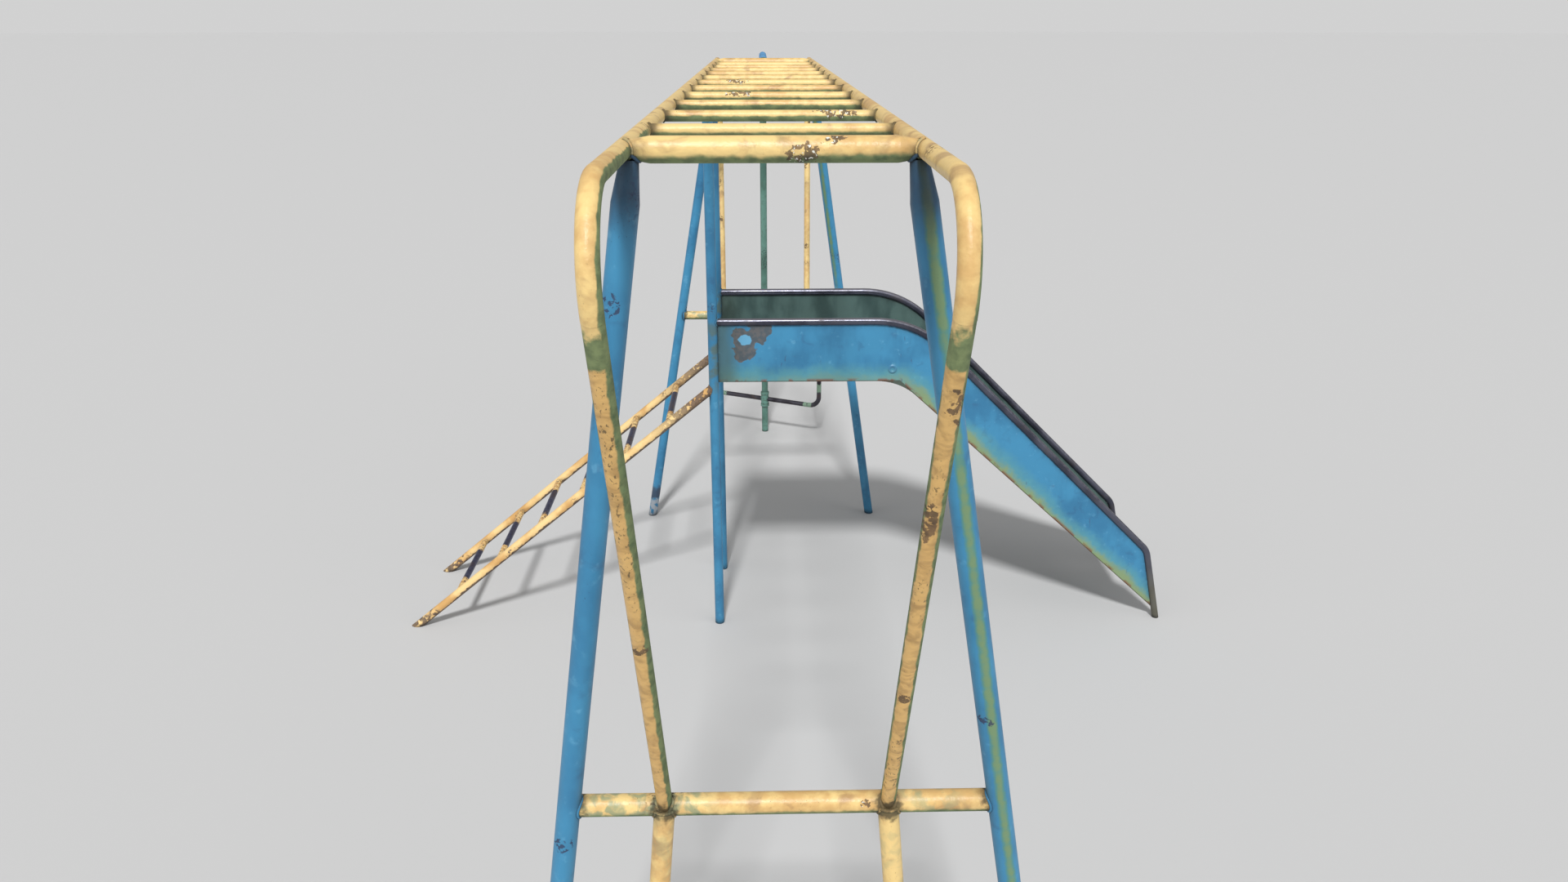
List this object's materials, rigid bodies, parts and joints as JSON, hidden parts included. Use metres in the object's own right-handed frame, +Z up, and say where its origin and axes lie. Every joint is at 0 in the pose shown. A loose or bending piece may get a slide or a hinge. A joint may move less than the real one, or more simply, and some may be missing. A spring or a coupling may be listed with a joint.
{
  "type": "monkey bars",
  "caption": "Steel climbing set: an overhead ladder of round bars on splayed tube legs, with a side slide, an access ladder and a free-turning bar on a pole.",
  "frame": {"origin": "middle of the footprint, on the ground", "axes": "+Y along the overhead ladder from the end with inner legs to the pole, +X down the slide, +Z up"},
  "size_m": [3.1696, 5.2068, 2.2192],
  "materials": {
    "yellow_paint": "old pale yellow gloss paint over green, chipped and grimy at the joints",
    "blue_paint": "old blue gloss paint, scuffed, with rust and green growth on lower edges",
    "green_paint": "old grey-green gloss paint, scuffed",
    "worn_steel": "bare dark steel polished by hands, with traces of light green paint",
    "step_paint": "dark steel worn bare in the middle, with yellow paint left at both ends",
    "bed_steel": "painted sheet steel, worn along the middle of the run"
  },
  "bodies": {
    "frame": {"rail_left": "yellow_paint", "rail_right": "yellow_paint", "rung_01": "yellow_paint", "rung_02": "yellow_paint", "rung_03": "yellow_paint", "rung_04": "yellow_paint", "rung_05": "yellow_paint", "rung_06": "yellow_paint", "rung_07": "yellow_paint", "rung_08": "yellow_paint", "rung_09": "yellow_paint", "rung_10": "yellow_paint", "rung_11": "yellow_paint", "near_leg_left": "blue_paint", "near_leg_right": "blue_paint", "near_top_bar": "yellow_paint", "near_low_bar": "yellow_paint", "near_inner_leg_left": "yellow_paint", "near_inner_leg_right": "yellow_paint", "far_leg_left": "blue_paint", "far_leg_right": "blue_paint", "far_top_bar": "yellow_paint", "far_low_bar": "yellow_paint", "post_near": "blue_paint", "post_far": "blue_paint", "slide_side_near": "blue_paint", "slide_side_far": "blue_paint", "slide_handrail_near": "worn_steel", "slide_handrail_far": "worn_steel", "slide_bed": "bed_steel", "slide_tie_1": "blue_paint", "slide_tie_2": "blue_paint", "slide_tie_3": "blue_paint", "slide_tie_4": "blue_paint", "stringer_near": "yellow_paint", "stringer_far": "yellow_paint", "step_1": "step_paint", "step_2": "step_paint", "step_3": "step_paint", "step_4": "step_paint", "step_5": "step_paint", "step_6": "step_paint", "pole": "green_paint", "collar_lower": "green_paint", "collar_upper": "green_paint"},
    "turning_bar": {"turning_sleeve": "green_paint", "turning_bar_right": "worn_steel", "turning_bar_left": "worn_steel", "handle_caps": "worn_steel"}
  },
  "joints": [
    {"name": "turning_bar_spin", "type": "hinge", "parent": "frame", "child": "turning_bar", "pos_m": [-0.08309, 2.4388, 0.21], "axis": [0, 0, 1], "continuous": true}
  ]
}
